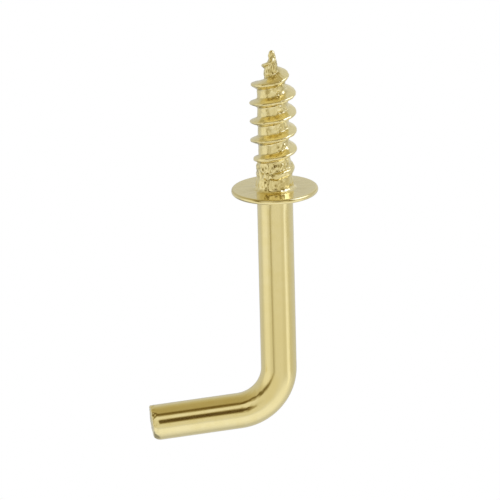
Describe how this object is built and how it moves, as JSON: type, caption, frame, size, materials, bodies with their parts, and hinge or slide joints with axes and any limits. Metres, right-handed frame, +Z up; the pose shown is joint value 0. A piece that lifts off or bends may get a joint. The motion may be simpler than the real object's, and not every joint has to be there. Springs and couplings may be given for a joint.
{
  "type": "square bend screw hook",
  "caption": "Square bend screw hook: a polished brass wire bent nearly square, with a thin round collar and a gimlet-point wood screw above it.",
  "frame": {"origin": "centre of the collar's upper face, which seats against the wood, on the screw's axis", "axes": "+Z up the screw to its point, the leg of the hook reaches out along -X and a little down"},
  "size_m": [0.0157, 0.0078, 0.0358],
  "materials": {
    "brass": "polished pale brass plate"
  },
  "bodies": {
    "root": {"square_bend_hook": "brass"}
  },
  "joints": []
}
